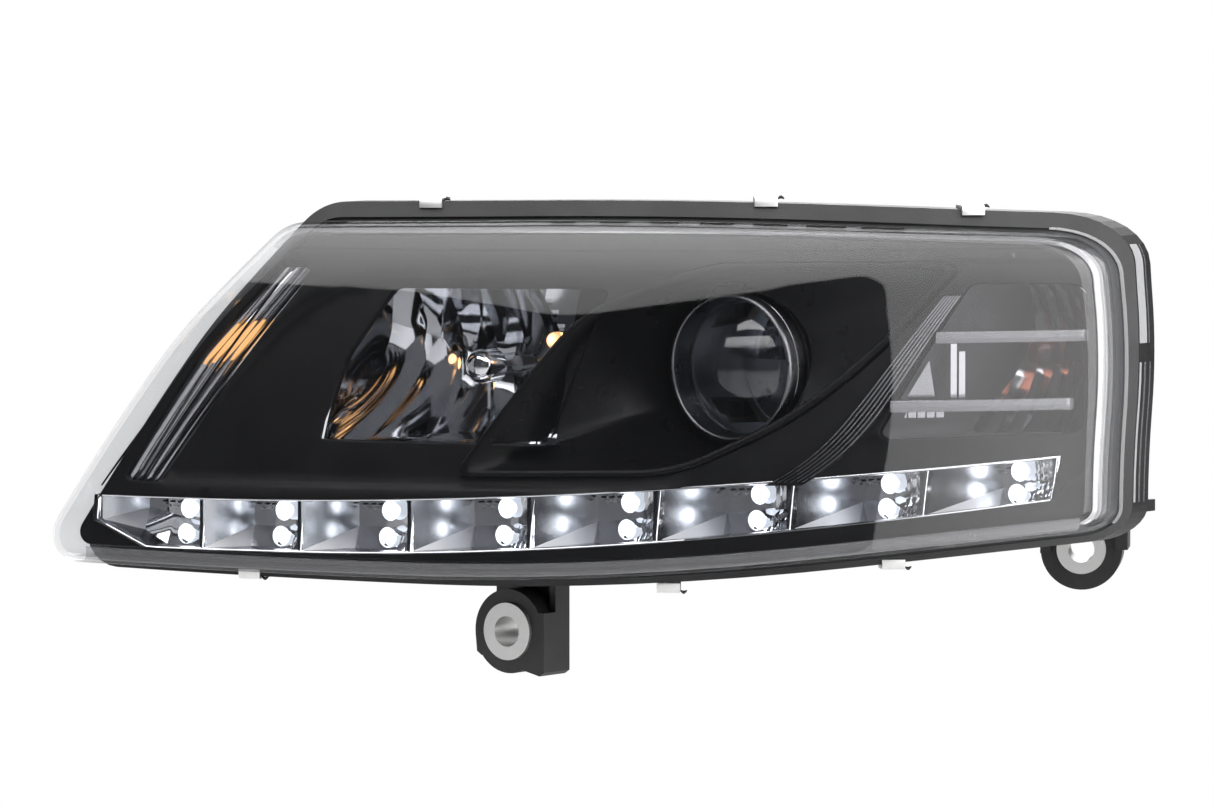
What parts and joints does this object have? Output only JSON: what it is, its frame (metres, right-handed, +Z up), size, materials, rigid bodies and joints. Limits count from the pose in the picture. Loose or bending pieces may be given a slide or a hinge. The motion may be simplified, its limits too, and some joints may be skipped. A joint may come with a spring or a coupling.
{
  "type": "car headlamp assembly",
  "caption": "Left front car headlamp with a projector low beam, a chrome high beam, an LED daytime running strip, a turn signal, levelling and aiming gear, and two mounting brackets.",
  "frame": {"origin": "centre of the front face of the lower bracket's flanged bush", "axes": "-Y straight ahead of the car and out of the bush's bore, +X outboard towards the wing, +Z up"},
  "size_m": [0.4703, 0.3985, 0.2486],
  "materials": {
    "housing_black": "fine moulded grain",
    "cover_clear": "clear hard-coated polycarbonate",
    "seal_dark": "matt",
    "clip_steel": "plain spring steel",
    "bezel_black": "fine grain",
    "pod_black": "piano black",
    "satin_grey": "satin",
    "chrome": "vacuum-metallised",
    "glass": "clear",
    "warm_bulb": "clear, lit warm",
    "amber_bulb": "amber",
    "led_white": "lit",
    "board_green": "solder resist",
    "steel": "satin",
    "aluminium": "turned",
    "part_grey": "moulded",
    "nylon_white": "moulded",
    "cap_black": "fine grain",
    "seal_red": "matt",
    "pin_gold": "plated"
  },
  "bodies": {
    "lamp": {"housing": "housing_black", "cover_lens": "cover_clear", "lens_seal": "seal_dark", "lens_clips": "clip_steel", "main_bezel": "bezel_black", "projector_pod": "pod_black", "louvre_strip": "satin_grey", "turn_bars": "glass", "high_beam_reflector": "chrome", "high_beam_bulb": "glass", "high_beam_bulb_base": "steel", "high_bulb_shield": "chrome", "side_reflector": "chrome", "position_bulb": "warm_bulb", "turn_reflector": "chrome", "drl_reflector": "chrome", "drl_trim": "chrome", "drl_leds": "led_white", "drl_boards": "board_green", "drl_driver": "part_grey", "pivot_studs": "steel", "level_motor": "part_grey", "main_connector": "part_grey", "connector_pins": "pin_gold", "vent_caps": "seal_dark", "lower_bracket": "housing_black", "outer_bracket": "housing_black", "lower_bush": "aluminium", "outer_bush": "aluminium", "bracket_screws": "steel", "bezel_screws": "steel", "internal_lead": "seal_dark", "low_cap_seal": "seal_red", "high_cap_seal": "seal_red"},
    "yaw_frame": {"aiming_frame": "part_grey", "aim_nut": "nylon_white"},
    "projector": {"projector_lens": "glass", "lens_ring": "satin_grey", "lens_carrier": "aluminium", "cutoff_shade": "steel", "bowl_reflector": "chrome", "low_beam_bulb": "glass", "low_beam_bulb_base": "steel"},
    "low_clip": {"low_bulb_clip": "steel"},
    "high_clip": {"high_bulb_clip": "steel"},
    "level_slider": {"level_rod": "nylon_white"},
    "yaw_adjuster": {"yaw_screw": "nylon_white"},
    "pitch_adjuster": {"pitch_screw": "nylon_white"},
    "low_cap": {"low_beam_cap": "cap_black"},
    "high_cap": {"high_beam_cap": "cap_black"},
    "turn_holder": {"turn_bulb": "amber_bulb", "turn_bulb_holder": "part_grey"}
  },
  "joints": [
    {"name": "aim_yaw", "type": "hinge", "parent": "lamp", "child": "yaw_frame", "pos_m": [0.092, 0.148, 0.1375], "axis": [0, 0, 1], "range_deg": [-2, 2]},
    {"name": "level_pitch", "type": "hinge", "parent": "yaw_frame", "child": "projector", "pos_m": [0.092, 0.148, 0.1375], "axis": [1, 0, 0], "range_deg": [-2, 2]},
    {"name": "level_rod_slide", "type": "slide", "parent": "lamp", "child": "level_slider", "axis": [0, 1, 0], "range_m": [-0.002, 0.002]},
    {"name": "yaw_screw_turn", "type": "hinge", "parent": "lamp", "child": "yaw_adjuster", "pos_m": [0.023, 0.15, 0.1685], "axis": [0, 1, 0], "range_deg": [-720, 720]},
    {"name": "pitch_screw_turn", "type": "hinge", "parent": "lamp", "child": "pitch_adjuster", "pos_m": [0.092, 0.2, 0.0665], "axis": [0, 1, 0], "range_deg": [-720, 720]},
    {"name": "low_bulb_clip_swing", "type": "hinge", "parent": "projector", "child": "low_clip", "pos_m": [0.092, 0.2085, 0.1541], "axis": [1, 0, 0], "range_deg": [0, 30]},
    {"name": "high_bulb_clip_swing", "type": "hinge", "parent": "lamp", "child": "high_clip", "pos_m": [-0.027, 0.067, 0.1525], "axis": [1, 0, 0], "range_deg": [0, 30]},
    {"name": "low_cap_turn", "type": "hinge", "parent": "lamp", "child": "low_cap", "pos_m": [0.092, 0.223, 0.1375], "axis": [0, 1, 0], "range_deg": [0, 40]},
    {"name": "high_cap_turn", "type": "hinge", "parent": "lamp", "child": "high_cap", "pos_m": [-0.027, 0.087, 0.1365], "axis": [0, 1, 0], "range_deg": [0, 40]},
    {"name": "turn_holder_turn", "type": "hinge", "parent": "lamp", "child": "turn_holder", "pos_m": [0.198, 0.248, 0.1425], "axis": [0, 1, 0], "range_deg": [0, 45]}
  ],
  "couplings": [
    {"joint": "level_rod_slide", "follows": "level_pitch", "m_per_rad": 0.052},
    {"joint": "yaw_screw_turn", "follows": "aim_yaw", "ratio": 290},
    {"joint": "pitch_screw_turn", "follows": "level_pitch", "ratio": 290}
  ]
}
